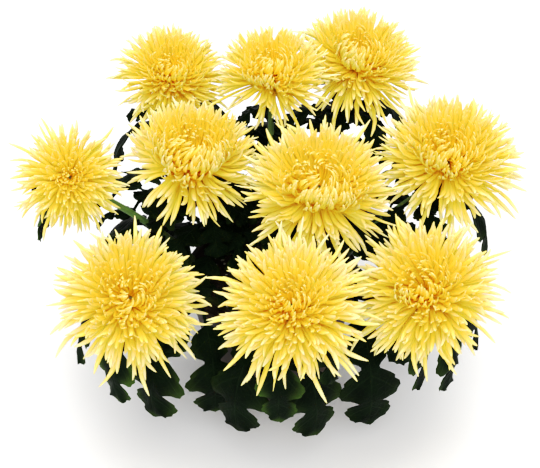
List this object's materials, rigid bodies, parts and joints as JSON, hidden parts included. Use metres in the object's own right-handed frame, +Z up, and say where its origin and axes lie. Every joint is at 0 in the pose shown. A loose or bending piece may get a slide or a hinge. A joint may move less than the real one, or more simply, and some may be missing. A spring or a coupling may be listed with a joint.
{
  "type": "potted chrysanthemum",
  "caption": "Pot of spider chrysanthemum with domed yellow blooms on leafy stems, to stand on a flat surface.",
  "frame": {"origin": "centre of the pot's foot, on the surface that it stands on", "axes": "+Z up along the pot's axis, -Y towards the viewer, +X to the viewer's right"},
  "size_m": [0.3867, 0.3428, 0.252],
  "materials": {
    "petal": "soft satin, fine lengthwise veins",
    "leaf": "waxy leaf green, paler veins",
    "pot": "matte moulded",
    "soil": "damp loose peat"
  },
  "bodies": {
    "root": {"pot": "pot", "soil": "soil", "bloom_1": "petal", "bloom_2": "petal", "bloom_3": "petal", "bloom_4": "petal", "bloom_5": "petal", "bloom_6": "petal", "bloom_7": "petal", "bloom_8": "petal", "bloom_9": "petal", "bloom_10": "petal", "leafy_stem_1": "leaf", "leafy_stem_2": "leaf", "leafy_stem_3": "leaf", "leafy_stem_4": "leaf", "leafy_stem_5": "leaf", "leafy_stem_6": "leaf", "leafy_stem_7": "leaf", "leafy_stem_8": "leaf", "leafy_stem_9": "leaf", "leafy_stem_10": "leaf"}
  },
  "joints": []
}
